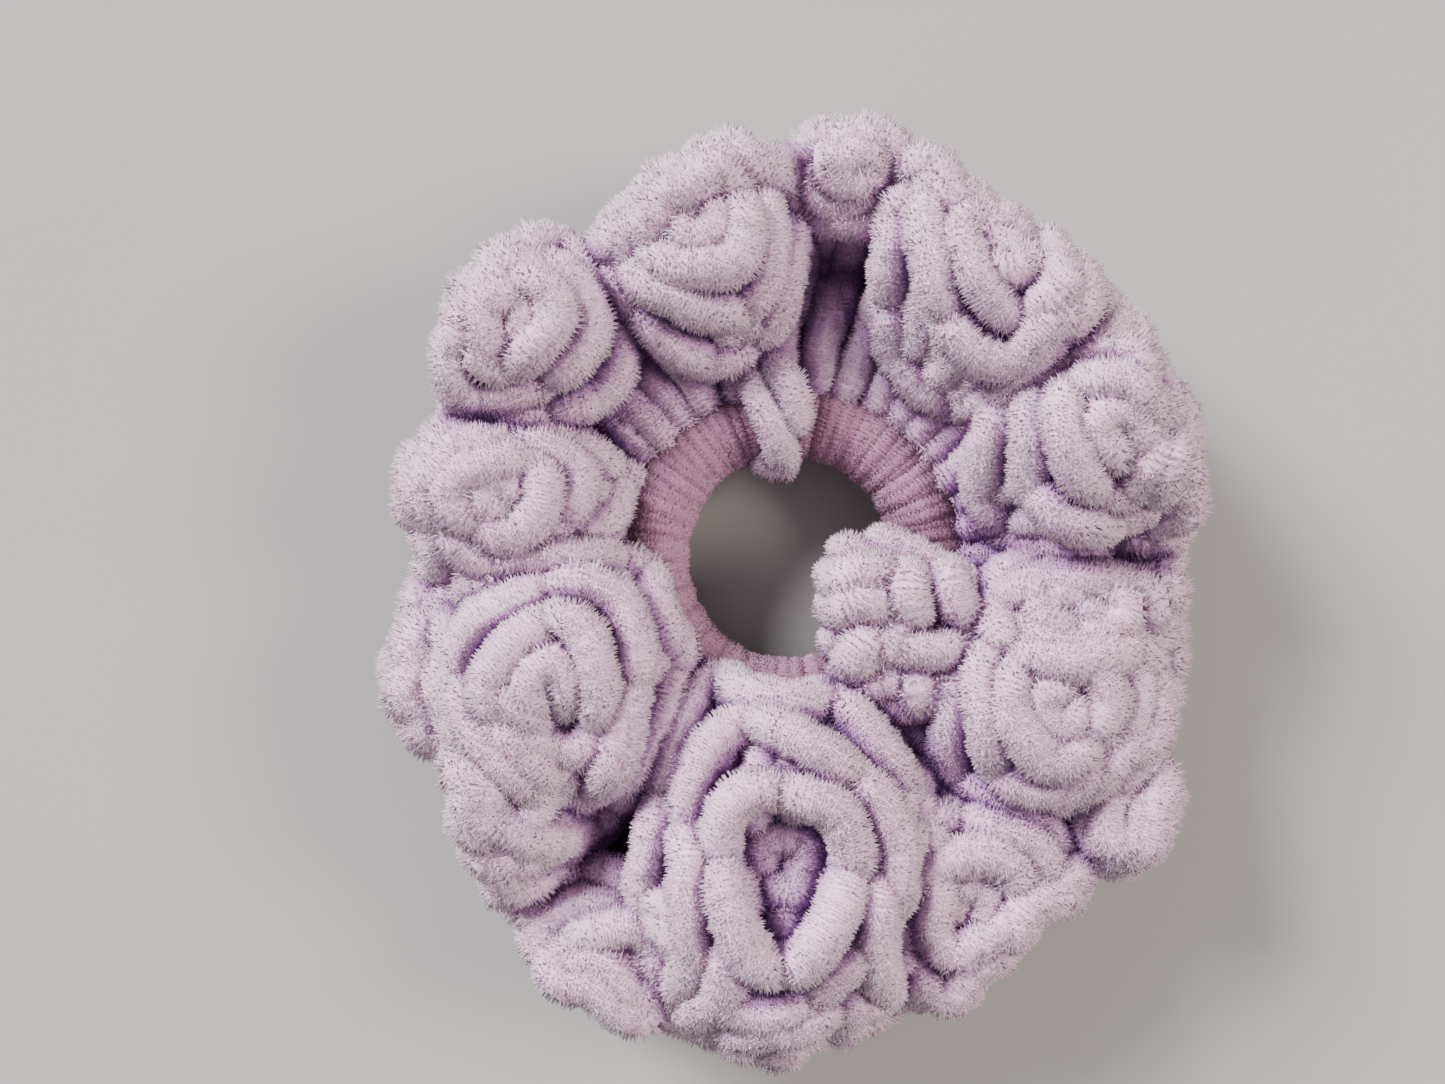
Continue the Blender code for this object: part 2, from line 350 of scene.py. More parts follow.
def curl_routes(mound, phase):
    """The plan of the strands that curl round one mound, ring outside ring."""
    x, y, half_x, half_y, _ = mound
    routes = []
    for ring, share in enumerate(CURL_SHARES):
        around = math.pi * share * (half_x + half_y)
        count = max(1, round(around / CURL_LENGTH))
        arc = 360 / count
        for number in range(count):
            start = phase + arc * (number + 0.5 * (ring % 2))
            turns = np.radians(np.linspace(start, start + CURL_FILL * arc, 7))
            reach = share * (1 + CURL_WEAVE * np.sin(3 * turns + phase + ring))
            routes.append([(x + half_x * part * math.cos(turn), y + half_y * part * math.sin(turn))
                           for part, turn in zip(reach, turns)])
    return routes


def ruffle_strands(sizes, rng):
    """The strands that show on the lobes."""
    lifts = (-1.2, 1.4, 0.2)
    mounds = [mound for lobe in MOUNDS.values() for mound in lobe]
    return [
        on_relief(route, sizes, rng, lift=lifts[number % len(lifts)])
        for mound in mounds
        for number, route in enumerate(curl_routes(mound, 360 * rng.uniform()))
    ]


def stuffing_strands(sizes, rng):
    """The tall stitches under them, from the collar out to the edge, which fill the valleys."""
    strands = []
    for inner, inset, step, sink in FILLING_ROWS:
        for angle in np.arange(0, 360, step):
            angle = angle + rng.uniform(-1.5, 1.5)
            outer = FILLING_RING_END if inset is None else outline(angle) - inset
            lean = rng.uniform(-4, 4)
            route = [
                polar(radius, angle + lean * share, 0)[:2]
                for share, radius in zip((0, 0.5, 1), np.linspace(inner, outer, 3))
            ]
            strand = on_relief(route, sizes, rng, lift=-sink)
            strand.reach = 0.1
            strands.append(strand)
    strands.append(on_relief(FOLD_CORNER, sizes, rng, lift=-2.5))
    return strands


def flank_radius(angle, height, cover):
    """The radius of the ruffle's outer face at this height, or None where the ruffle is lower than that."""
    outer = outline(angle)
    for inset in np.arange(4.6, 14.0, 0.7):
        x, y, _ = polar(outer - inset, angle, 0)
        if ruffle_top(x, y) >= height + cover:
            return outer - inset
    return None


def flank_strands(sizes, rng):
    """The V-shaped stitches down the outside of the ruffle."""
    strands = []
    cover = (sizes.strand_radius + sizes.pile_length) / MM
    for height, inset, rise in FLANK_ROWS:
        lean, angle = 1, 0.0
        while angle < 360:
            half = math.degrees(FLANK_HALF_WIDTH / outline(angle))
            wave = FLANK_WAVE * math.sin(math.radians(9 * angle) + height)
            level = height + rng.uniform(-1.0, 1.0) + wave
            face = flank_radius(angle, level, cover)
            if face is not None:
                face -= inset + rng.uniform(-0.9, 1.6)
                slope = rise * lean * rng.uniform(0.6, 1.25)
                ends = [polar(face + bulge, angle + half * share, max(level + slope * share, FLANK_FLOOR))
                        for share, bulge in ((-1, -2.4), (0, 0.7), (1, -2.4))]
                radius = sizes.strand_radius / MM * rng.uniform(0.95, 1.08)
                strands.append(Strand(smooth_line(ends), polar(1, angle, 0.15), radius, "edge", reach=-0.25))
            angle += math.degrees(FLANK_SPACING / outline(angle))
            lean = -lean
    return strands


def underside_strands(sizes, rng):
    """The stitches that lie on the table."""
    strands = []
    for inner, outer, step, height in UNDERSIDE_ROWS:
        for angle in np.arange(0, 360, step):
            angle = angle + rng.uniform(-1, 1)
            reach = outline(angle) - UNDERSIDE_INSET if outer is None else outer
            lean = rng.uniform(-5, 5)
            points = [
                polar(radius, angle + lean * share, height)
                for share, radius in zip((0, 0.5, 1), np.linspace(inner, reach, 3))
            ]
            round_name = "edge" if outer is None else "ruffle"
            radius = sizes.strand_radius / MM
            strands.append(Strand(smooth_line(points), -UP, radius, round_name, reach=0.2))
    return strands


def collar_strands(sizes, rng):
    """The tight turns of the foundation round about the elastic."""
    strands = []
    count = sizes.collar_turns
    for number in range(count):
        angle = 360 * (number + rng.uniform(-0.12, 0.12)) / count
        outward, sideways = polar(1, angle, 0), polar(1, angle + 90, 0)
        tilt, shift = rng.uniform(-0.15, 0.15), rng.uniform(-0.2, 0.25)
        turn = np.linspace(0, 2 * math.pi, 33)[:-1, None]
        reach = sizes.collar_wrap / MM + shift
        line = polar(RING_RADIUS, angle, RING_HEIGHT) + reach * (
            np.cos(turn) * outward + np.sin(turn) * UP + np.cos(turn + 1) * tilt * sideways
        )
        facing = np.cos(turn) * outward + np.sin(turn) * UP
        radius = sizes.collar_strand / MM * rng.uniform(0.94, 1.06)
        strands.append(Strand(line, facing, radius, "collar", pile=0.45, reach=-0.1, closed=True))
    return strands


def slip_stitch_strands(sizes, rng):
    """The two fat strands that close the foundation round, with their bulge in the hole."""
    runs = [
        [(-7.6, 31.0, 18.5), (-6.4, 29.2, 21.6), (-3.6, 23.0, 24.0), (-1.6, 18.0, 22.0), (-0.8, 16.0, 18.0)],
        [(-4.6, 32.4, 19.0), (-2.6, 30.6, 22.8), (-0.2, 27.6, 24.6), (0.6, 23.6, 24.0), (0.8, 20.4, 22.0)],
        [(-5.6, 17.6, 17.5), (-4.0, 16.4, 15.0), (-1.4, 15.8, 14.6), (0.6, 16.6, 16.5)],
    ]
    facing = [(-0.15, -0.2, 1), (0.1, -0.2, 1), (0, -1, 0.35)]
    radius = sizes.strand_radius / MM * 0.78
    return [
        Strand(smooth_line(points), np.array(way, float), radius, "slip_stitch", reach=-0.4)
        for points, way in zip(runs, facing)
    ]


def fold_top(x, y):
    """The upper surface of the fold that lies over the collar and the hole."""
    share = ((x - 15.0) / 16.0) ** 2 + ((y + 7.0) / 14.0) ** 2
    return np.maximum(31.0 + 3.0 * np.clip(1 - share, 0, 1), ruffle_top(x, y) + 0.5)


def fold_strands(sizes, rng):
    """The fold's strands, and the row below them that makes its underside."""
    strands = [
        on_relief(route, sizes, rng, round_name="inward_fold", floor=fold_top)
        for route in FOLD_ROUTES
    ]
    for strand in strands:
        strand.facing[:] = UP
        strand.reach = -0.9
    outward, sideways = polar(1, 332, 0), polar(1, 62, 0)
    for offset, start in ((-12.5, 14.0), (-8.5, 10.0), (-4.0, 7.0), (0.5, 4.5), (5.0, 4.5), (9.0, 9.0)):
        points = [
            outward * place + sideways * offset + UP * 25.9 for place in np.linspace(start, 30.0, 3)
        ]
        strands.append(Strand(smooth_line(points), UP, sizes.strand_radius / MM, "inward_fold", reach=-1.1))
    return strands


def elastic_strands(radius, name, spare):
    """Twelve arcs of the elastic, which stop short of its glued joint."""
    strands = []
    for _, first, _, second in PAIRS:
        low, high = sorted((first, second))
        low += spare * (low == 270)
        high -= spare * (high == 270)
        line = np.array([polar(RING_RADIUS, angle, RING_HEIGHT) for angle in np.linspace(low, high, 25)])
        strands.append(Strand(line, UP, radius, name, blunt=True))
    return strands


# ---- Clearance between strands ----

class Clearance:
    """The distance from any place to the nearest strand's skin, kept on a fine grid and below zero inside."""

    CELL = 1.0
    REACH = 9

    def __init__(self, strands):
        self.low = np.array([-90.0, -95.0, -8.0])
        self.shape = (180, 190, 72)
        self.grid = np.full(self.shape, float(self.REACH), np.float32)
        for strand in strands:
            for point in strand.ball_centres():
                self.press(point, strand.radius)
        heights = self.low[2] + np.arange(self.shape[2]) * self.CELL
        self.top = np.where(self.grid < 0, heights, 0.0).max(axis=2)

    def press(self, point, radius):
        cell = np.round((point - self.low) / self.CELL).astype(int)
        first = np.maximum(cell - self.REACH - 3, 0)
        last = np.minimum(cell + self.REACH + 4, self.shape)
        axes = [
            (self.low[k] + np.arange(first[k], last[k]) * self.CELL - point[k]) ** 2 for k in range(3)
        ]
        distance = np.sqrt(axes[0][:, None, None] + axes[1][None, :, None] + axes[2][None, None, :]) - radius
        window = tuple(slice(a, b) for a, b in zip(first, last))
        self.grid[window] = np.minimum(self.grid[window], distance)

    def at(self, points):
        """The clearance at these points."""
        place = (points - self.low) / self.CELL
        place = np.clip(place, 0, np.array(self.shape) - 1.001)
        whole = place.astype(int)
        part = place - whole
        total = np.zeros(len(points))
        for corner in np.ndindex(2, 2, 2):
            weight = np.prod(np.where(corner, part, 1 - part), axis=1)
            cell = whole + corner
            total += weight * self.grid[cell[:, 0], cell[:, 1], cell[:, 2]]
        return total

    def hollow(self, points, directions):
        """How shut in these points are: 0 in the open, 1 far down between strands; the yarn's colour turns
        this into painted shade.
        """
        lean = unit(directions + 0.35 * UP)
        seen = [
            np.clip(self.at(points + lean * step) / (0.8 * step), 0, 1) for step in (1.5, 3.5, 7.0)
        ]
        return np.clip(0.8 * (1 - np.mean(seen, axis=0)) + 0.9 * self.walled(points, directions), 0, 1)

    def walled(self, points, directions):
        """The share of the sky they face that taller neighbours a few strands away shut off."""
        shut = np.zeros(len(points))
        total = np.zeros(len(points))
        for angle in range(0, 360, 45):
            slope = np.zeros(len(points))
            for distance in (6.0, 10.0, 15.0):
                place = points + polar(distance, angle, 0)
                cell = np.round((place[:, :2] - self.low[:2]) / self.CELL).astype(int)
                cell = np.clip(cell, 0, np.array(self.shape[:2]) - 1)
                rise = self.top[cell[:, 0], cell[:, 1]] - points[:, 2]
                slope = np.maximum(slope, rise / distance)
            weight = np.clip(0.6 + directions @ polar(1, angle, 0), 0, None)
            shut += weight * np.arctan(slope) / (math.pi / 2)
            total += weight
        return shut / total


# ---- Meshes ----

class Skein:
    """Gathers the tubes and tufts of one piece."""

    def __init__(self):
        self.points = []
        self.normals = []
        self.values = []
        self.corners = []
        self.sizes = []
        self.count = 0

    def add(self, points, normals, values, *faces):
        """Adds vertices, each with hollow, tip, along and tint, and arrays of faces that use them."""
        self.points.append(points)
        self.normals.append(normals)
        self.values.append(values)
        for array in faces:
            self.corners.append((array + self.count).ravel())
            self.sizes.append(np.full(len(array), array.shape[1]))
        self.count += len(points)

    def add_core(self, strand, clearance, rng, sides=10):
        """The strand's plump core, as a closed tube with round ends."""
        radius, length = strand.radius, strand.length
        if strand.closed:
            place = np.linspace(0, length, 25)[:-1]
        elif strand.blunt:
            place = np.linspace(0, length, 25)
        else:
            caps = radius * (1 - np.cos(np.radians([25, 50, 75])))
            middle = np.linspace(radius, length - radius, max(2, round((length - 2 * radius) / 1.5) + 1))
            place = np.concatenate([caps, middle, (length - caps)[::-1]])
        turn = np.arange(sides) * 2 * math.pi / sides
        rings = len(place)
        places, turns = np.repeat(place, sides), np.tile(turn, rings)
        points, normals, _ = strand.skin(places, turns, 1.0)
        ring = np.arange(rings if strand.closed else rings - 1)[:, None]
        side = np.arange(sides)[None, :]
        here, there = ring * sides, (ring + 1) % rings * sides
        ahead = (side + 1) % sides
        quads = np.stack([here + side, here + ahead, there + ahead, there + side], -1).reshape(-1, 4)
        faces = [quads]
        if not strand.closed:
            ends, end_normals, _ = strand.skin(np.array([0.0, length]), np.zeros(2), 0.0)
            points, normals = np.vstack([points, ends]), np.vstack([normals, end_normals])
            first, last = rings * sides, rings * sides + 1
            around = np.arange(sides)
            turned = (around + 1) % sides
            base = (rings - 1) * sides
            faces.append(np.column_stack([np.full(sides, first), turned, around]))
            faces.append(np.column_stack([np.full(sides, last), base + around, base + turned]))
            places = np.concatenate([places, [0.0, length]])
        # Painted shade: each vertex stores how shut in it is, and the yarn's colour is darkened by it.
        hollow = clearance.hollow(points, normals) if clearance else np.zeros(len(points))
        tint = np.full(len(points), rng.uniform())
        values = np.column_stack([hollow, np.zeros(len(points)), places, tint])
        self.add(points, np.zeros_like(points), values, *faces)

    def add_pile(self, strand, clearance, sizes, rng):
        """Rows of fine tufts across the strand, longer on the outside of a bend."""
        gap, width = sizes.row_gap / MM, sizes.tuft_width / MM
        per_row = max(6, round(2 * math.pi * strand.radius / (width * 0.8)))
        ends = not (strand.closed or strand.blunt)
        if ends:
            bow = np.arange(gap / 2, math.pi / 2 * strand.radius, gap) / strand.radius
            cap = strand.radius * (1 - np.cos(bow))
            middle = np.arange(strand.radius, strand.length - strand.radius, gap)
            rows = np.concatenate([cap, middle, strand.length - cap])
        else:
            rows = np.arange(0.3, strand.length - 0.2, gap)
        place = np.repeat(rows, per_row)
        turn = np.tile(np.arange(per_row) * 2 * math.pi / per_row, len(rows))
        count = len(place)
        turn = turn + rng.uniform(-0.5, 0.5, count) * 2 * math.pi / per_row
        place = np.clip(place + rng.normal(0, 0.14 * gap, count), 0.02, strand.length - 0.02)
        roots, outward, tangent = strand.skin(place, turn, 0.93)
        facing = unit(strand.read(strand.facing, place))
        kept = (outward * facing).sum(1) > strand.reach
        if ends:
            closing = np.clip(1 - np.minimum(place, strand.length - place) / strand.radius, 0, 1)
            kept &= rng.uniform(0, 1, count) ** 2 < 1 - closing ** 2
        kept[kept] = clearance.at(roots[kept] + outward[kept] * 0.7) > -0.35
        if not kept.any():
            return
        roots, outward, tangent, place, turn = (
            values[kept] for values in (roots, outward, tangent, place, turn)
        )
        count = len(roots)
        bend = np.gradient(strand.tangent, axis=0) / np.gradient(strand.along[:len(strand.line)])[:, None]
        outside = np.clip(-(strand.read(bend, place) * outward).sum(1) * strand.radius, 0, 0.8)
        length = sizes.pile_length / MM * strand.pile * strand.fluff(place, turn)
        length = length * (rng.uniform(0.65, 1.2, count) + 0.7 * outside)
        length = length + 0.07 * strand.radius
        across = unit(np.cross(tangent, outward))
        half, depth = across * width * 0.5, tangent * sizes.tuft_depth / MM * 0.5
        lean = rng.normal(0, 0.16, (count, 1)) * tangent + rng.normal(0, 0.3, (count, 1)) * across
        tips = roots + (outward + lean) * length[:, None]
        points = np.stack([roots - half - depth, roots + half - depth, roots + depth, tips], 1).reshape(-1, 3)
        soft = unit(outward + 0.5 * lean + 0.12 * rng.normal(0, 1, (count, 3)))
        # Painted shade: each tuft stores how shut in its root is, and the yarn's colour is darkened by it.
        hollow = clearance.hollow(roots + outward * 0.8, outward)
        tint = rng.uniform(0, 1, count)
        values = np.stack([
            np.column_stack([hollow, np.full(count, tip), place, tint]) for tip in (0.0, 0.0, 0.0, 1.0)
        ], 1).reshape(-1, 4)
        first = np.arange(count)[:, None] * 4
        tetra = np.array([(0, 2, 1), (0, 1, 3), (1, 2, 3), (2, 0, 3)])
        faces = (first[:, :, None] + tetra[None]).reshape(-1, 3)
        self.add(points, np.repeat(soft, 4, axis=0), values, faces)

    def make(self, name, material, slot):
        """The finished object, in metres and in its place."""
        points = (np.vstack(self.points) + RING_CENTRE) * MM
        corners = np.concatenate(self.corners).astype(np.int32)
        sizes = np.concatenate(self.sizes)
        mesh = bpy.data.meshes.new(name)
        mesh.vertices.add(len(points))
        mesh.vertices.foreach_set("co", points.ravel())
        mesh.loops.add(len(corners))
        mesh.loops.foreach_set("vertex_index", corners)
        mesh.polygons.add(len(sizes))
        mesh.polygons.foreach_set("loop_start", (np.cumsum(sizes) - sizes).astype(np.int32))
        mesh.update(calc_edges=True)
        values = np.vstack(self.values).astype(np.float32)
        for column, label in enumerate(("hollow", "tip", "along", "tint")):
            attribute = mesh.attributes.new(label, "FLOAT", "POINT")
            attribute.data.foreach_set("value", np.ascontiguousarray(values[:, column]))
        mesh.normals_split_custom_set_from_vertices(np.vstack(self.normals).tolist())
        piece = bpy.data.objects.new(name, mesh)
        bpy.context.scene.collection.objects.link(piece)
        mesh.materials.append(material)
        return piece


def pair_of(strand):
    """The index of the two neighbouring bodies that this strand lies between."""
    middle = strand.line.mean(0)
    angle = math.degrees(math.atan2(middle[1], middle[0])) % 360
    for index, (_, first, _, second) in enumerate(PAIRS):
        low, high = sorted((first, second))
        if low <= angle < high or low <= angle + 360 < high:
            return index
    raise ValueError(f"no two bodies lie round {angle:.1f} degrees")


def make_round(round_name, strands, material, slot, sizes, clearance, label=None, nodes=None, piled=True):
    """Twelve pieces of one round, each lying between two neighbouring bodies."""
    label, nodes = label or round_name, nodes or f"{round_name}_{{}}"
    skeins = [Skein() for _ in PAIRS]
    for number, strand in enumerate(strands):
        rng = np.random.default_rng([sizes.seed, len(label), number])
        skein = skeins[pair_of(strand)]
        skein.add_core(strand, clearance, rng)
        if piled:
            skein.add_pile(strand, clearance, sizes, rng)
    for skein, (first, first_angle, second, second_angle) in zip(skeins, PAIRS):
        piece = skein.make(f"{label}_{first}_to_{second}", material, slot)
        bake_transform(piece)
        names = [nodes.format(second)] + [nodes.format("06")] * (PAIRS[0][2] == second)
        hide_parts(*sorted(set(names)))


def make_rider(name, node, body, strands, material, slot, sizes, clearance):
    """One piece that rides whole on one body and stands for its CAD node."""
    skein = Skein()
    for number, strand in enumerate(strands):
        rng = np.random.default_rng([sizes.seed, len(name), number])
        skein.add_core(strand, clearance, rng)
        skein.add_pile(strand, clearance, sizes, rng)
    piece = skein.make(name, material, slot)
    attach(piece, body)
    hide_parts(node)


WORK = {}


def crochet(sizes):
    """Every strand of yarn by round, and the clearance between them all, worked out once."""
    if not WORK:
        rng = np.random.default_rng(sizes.seed)
        strands = (
            ruffle_strands(sizes, rng) + stuffing_strands(sizes, rng) + flank_strands(sizes, rng)
            + underside_strands(sizes, rng) + collar_strands(sizes, rng) + slip_stitch_strands(sizes, rng)
            + fold_strands(sizes, rng)
        )
        WORK["clearance"] = Clearance(strands)
        for strand in strands:
            WORK.setdefault(strand.round_name, []).append(strand)
    return WORK


# ---- Materials ----

def link(tree, output, target):
    tree.links.new(output, target)


def math_node(tree, operation, first, second=None, third=None, clamp=False):
    """A Math node's output, with numbers or outputs as its inputs."""
    node = tree.nodes.new("ShaderNodeMath")
    node.operation = operation
    node.use_clamp = clamp
    for socket, value in zip(node.inputs, (first, second, third)):
        if value is None:
            continue
        if isinstance(value, (int, float)):
            socket.default_value = value
        else:
            link(tree, value, socket)
    return node.outputs[0]


def mix_node(tree, share, first, second):
    """A colour Mix node's output."""
    node = tree.nodes.new("ShaderNodeMix")
    node.data_type = "RGBA"
    for socket, value in zip((node.inputs[0], node.inputs[6], node.inputs[7]), (share, first, second)):
        if isinstance(value, (int, float, tuple)):
            socket.default_value = value
        else:
            link(tree, value, socket)
    return node.outputs[2]


def noise_node(tree, scale, detail=2.0):
    """A Noise texture's factor, in the piece's own coordinates."""
    node = tree.nodes.new("ShaderNodeTexNoise")
    node.inputs["Scale"].default_value = scale
    node.inputs["Detail"].default_value = detail
    link(tree, tree.nodes.new("ShaderNodeTexCoord").outputs["Object"], node.inputs["Vector"])
    return node.outputs["Fac"]


def smooth_step(tree, value, low, high):
    """Rises smoothly from 0 to 1 as the value goes from low to high."""
    node = tree.nodes.new("ShaderNodeMapRange")
    node.interpolation_type = "SMOOTHSTEP"
    link(tree, value, node.inputs["Value"])
    node.inputs["From Min"].default_value = low
    node.inputs["From Max"].default_value = high
    return node.outputs["Result"]


def new_group(name, inputs, outputs):
    """A shader node group with these named sockets."""
    group = bpy.data.node_groups.new(name, "ShaderNodeTree")
    for label, kind in inputs:
        group.interface.new_socket(label, in_out="INPUT", socket_type=kind)
    for label, kind in outputs:
        group.interface.new_socket(label, in_out="OUTPUT", socket_type=kind)
    source = group.nodes.new("NodeGroupInput")
    target = group.nodes.new("NodeGroupOutput")
    return group, source.outputs, target.inputs


def pile_colour_and_painted_shade_group():
    """Colours pile yarn with painted light: painted shade darkest down in the hollows, a lit colour on the
    crowns and a pale painted highlight at the tips of the tufts.
    """
    found = bpy.data.node_groups.get("Pile colour and painted shade")
    if found:
        return found
    group, source, target = new_group(
        "Pile colour and painted shade",
        [("Lit", "NodeSocketColor"), ("Middle", "NodeSocketColor"), ("Deep", "NodeSocketColor"),
         ("Pale", "NodeSocketColor"),
         ("Hollow", "NodeSocketFloat"), ("Tip", "NodeSocketFloat"), ("Tint", "NodeSocketFloat")],
        [("Color", "NodeSocketColor")],
    )
    # Painted shade: the hollow value, with random patches of darker tone added, mixes the lit colour towards
    # the shaded one and then the darkest one.
    patches = smooth_step(group, noise_node(group, 90.0), 0.3, 0.7)
    shut = smooth_step(group, source["Hollow"], 0.08, 0.50)
    shut = math_node(group, "ADD", shut, math_node(group, "MULTIPLY", patches, 0.22), clamp=True)
    body = mix_node(group, shut, source["Lit"], source["Middle"])
    body = mix_node(group, smooth_step(group, source["Hollow"], 0.5, 1.0), body, source["Deep"])
    # Painted highlight: the tufts' tips turn pale only where the painted shade leaves them open.
    open_share = math_node(group, "SUBTRACT", 1.0, shut)
    tip = math_node(group, "MULTIPLY", math_node(group, "POWER", source["Tip"], 1.3), open_share)
    tip = math_node(group, "MULTIPLY", tip, math_node(group, "MULTIPLY_ADD", source["Tint"], 0.6, 0.3))
    body = mix_node(group, tip, body, source["Pale"])
    shade = math_node(group, "MULTIPLY_ADD", source["Tint"], 0.16, 0.9)
    tone = group.nodes.new("ShaderNodeHueSaturation")
    link(group, shade, tone.inputs["Value"])
    link(group, body, tone.inputs["Color"])
    link(group, tone.outputs["Color"], target["Color"])
    return group


def fibre_groove_group():
    """The fine grooves that lie across a strand, and the fuzz between them."""
    found = bpy.data.node_groups.get("Fibre grooves")
    if found:
        return found
    group, source, target = new_group(
        "Fibre grooves", [("Along", "NodeSocketFloat"), ("Spacing", "NodeSocketFloat")],
        [("Height", "NodeSocketFloat")],
    )
    drift = math_node(group, "MULTIPLY", noise_node(group, 700.0), 3.0)
    turns = math_node(group, "DIVIDE", source["Along"], source["Spacing"])
    wave = math_node(group, "SINE", math_node(group, "MULTIPLY_ADD", turns, 2 * math.pi, drift))
    fuzz = noise_node(group, 2600.0, 3.0)
    link(group, math_node(group, "MULTIPLY_ADD", wave, 0.35, fuzz), target["Height"])
    return group


def surface_value(tree, label):
    """A value stored on the mesh."""
    node = tree.nodes.new("ShaderNodeAttribute")
    node.attribute_name = label
    return node.outputs["Fac"]


def place_group(tree, group, **values):
    """A node of this group, with its inputs linked or set."""
    node = tree.nodes.new("ShaderNodeGroup")
    node.node_tree = group
    for label, value in values.items():
        socket = node.inputs[label]
        if isinstance(value, (int, float, tuple)):
            socket.default_value = value
        else:
            link(tree, value, socket)
    return node


def new_material(name):
    """A material with its node tree and its shader."""
    material = bpy.data.materials.new(name)
    material.use_nodes = True
    return material, material.node_tree, material.node_tree.nodes["Principled BSDF"]


def yarn_material(name, lit, middle, deep_shade, pale, groove_spacing=0.9, sheen=0.15):
    """Soft chenille-like pile yarn, with painted light and shade in its colour."""
    found = bpy.data.materials.get(name)
    if found:
        return found
    material, tree, shader = new_material(name)
    # Painted light: the base colour goes lit, shaded or darkest by the hollow value, with a painted highlight
    # at the tufts' tips.
    colour = place_group(
        tree, pile_colour_and_painted_shade_group(),
        Lit=(*lit, 1.0), Middle=(*middle, 1.0), Deep=(*deep_shade, 1.0), Pale=(*pale, 1.0),
        Hollow=surface_value(tree, "hollow"), Tip=surface_value(tree, "tip"),
        Tint=surface_value(tree, "tint"),
    )
    link(tree, colour.outputs["Color"], shader.inputs["Base Color"])
    grooves = place_group(
        tree, fibre_groove_group(), Along=surface_value(tree, "along"), Spacing=groove_spacing)
    bump = tree.nodes.new("ShaderNodeBump")
    bump.inputs["Strength"].default_value = 0.6
    bump.inputs["Distance"].default_value = 0.0003
    link(tree, grooves.outputs["Height"], bump.inputs["Height"])
    link(tree, bump.outputs["Normal"], shader.inputs["Normal"])
    rough = math_node(tree, "MULTIPLY_ADD", surface_value(tree, "tip"), -0.12, 0.92)
    link(tree, rough, shader.inputs["Roughness"])
    shader.inputs["Specular IOR Level"].default_value = 0.25
    shader.inputs["Sheen Weight"].default_value = sheen
    shader.inputs["Sheen Roughness"].default_value = 0.35
    shader.inputs["Sheen Tint"].default_value = (1.0, 0.85, 0.97, 1.0)
    return material


def ruffle_material(name, colours):
    """Pile yarn in the ruffle's colours, with their painted light and shade."""
    return yarn_material(name, colours.lit, colours.middle, colours.deep_shade, colours.pale)


def knit_material(name, colour, rib):
    """The elastic's textile sheath, rubber or glue: a plain tone with fine ribs or grain."""
    found = bpy.data.materials.get(name)
    if found:
        return found
    material, tree, shader = new_material(name)
    grain = noise_node(tree, rib, 3.0)
    dark = tuple(0.6 * part for part in colour)
    link(tree, mix_node(tree, smooth_step(tree, grain, 0.35, 0.65), (*dark, 1.0), (*colour, 1.0)),
         shader.inputs["Base Color"])
    bump = tree.nodes.new("ShaderNodeBump")
    bump.inputs["Strength"].default_value = 0.5
    bump.inputs["Distance"].default_value = 0.0002
    link(tree, grain, bump.inputs["Height"])
    link(tree, bump.outputs["Normal"], shader.inputs["Normal"])
    shader.inputs["Roughness"].default_value = 0.8
    return material


# ---- Settings ----

def length(name, description, default):
    return FloatProperty(name=name, description=description, default=default, min=0.0, unit="LENGTH",
                         subtype="DISTANCE", precision=5)


def colour(name, description, default):
    return FloatVectorProperty(name=name, description=description, default=default, size=3, min=0.0, max=1.0,
                               subtype="COLOR")


class ScrunchieYarn(bpy.types.PropertyGroup):
    """Sizes of the yarn and its pile."""
    strand_radius: length("Strand radius", "Radius of a ruffle strand's core", 0.0034)
    tail: length("Tail", "How far a strand runs on under its neighbours", 0.0015)
    dive: length("Dive", "How deep a strand's end goes in", 0.0035)
    pile_length: length("Pile length", "Length of a tuft beyond the core", 0.0007)
    row_gap: length("Row gap", "Distance between rows of tufts along a strand", 0.0005)
    tuft_width: length("Tuft width", "Width of a tuft across the strand", 0.00044)
    tuft_depth: length("Tuft depth", "Thickness of a tuft along the strand", 0.00028)
    collar_strand: length("Collar strand", "Radius of the foundation round's strand", 0.0021)
    collar_wrap: length("Collar wrap", "Radius of a turn about the elastic", 0.0042)
    collar_turns: IntProperty(name="Collar turns", description="Turns of yarn round the elastic", default=84,
                              min=24)
    seed: IntProperty(name="Seed", description="Varies the small irregularities", default=7, min=0)


class ScrunchieColours(bpy.types.PropertyGroup):
    """Colours of the yarn and the elastic; the yarn's colours include its painted light and shade."""
    # The lit, shaded and darkest yarn colours are one yarn painted lit, in painted shade on the flanks and in
    # painted shade down between the strands.
    lit: colour("Lit yarn", "Yarn on the crowns of the lobes", (0.86, 0.59, 0.77))
    middle: colour("Shaded yarn", "Yarn on the strands' flanks", (0.57, 0.32, 0.57))
    deep_shade: colour("Deep yarn", "Yarn down between the strands", (0.27, 0.12, 0.36))
    # Painted highlight: the pale colour of the tufts' tips where they are open to the light.
    pale: colour("Tuft tips", "Tips of the pile", (0.99, 0.95, 0.96))
    # Painted shade: the collar is worked in the ruffle's yarn, and this darker colour paints the shade it
    # sits in.
    collar: colour("Foundation yarn", "Yarn of the tight collar", (0.44, 0.22, 0.34))
    sheath: colour("Sheath", "Textile sheath of the elastic", (0.50, 0.38, 0.58))
    latex: colour("Core", "Rubber core of the elastic", (0.35, 0.30, 0.26))
    bond: colour("Joint", "Glued joint of the elastic", (0.45, 0.34, 0.50))


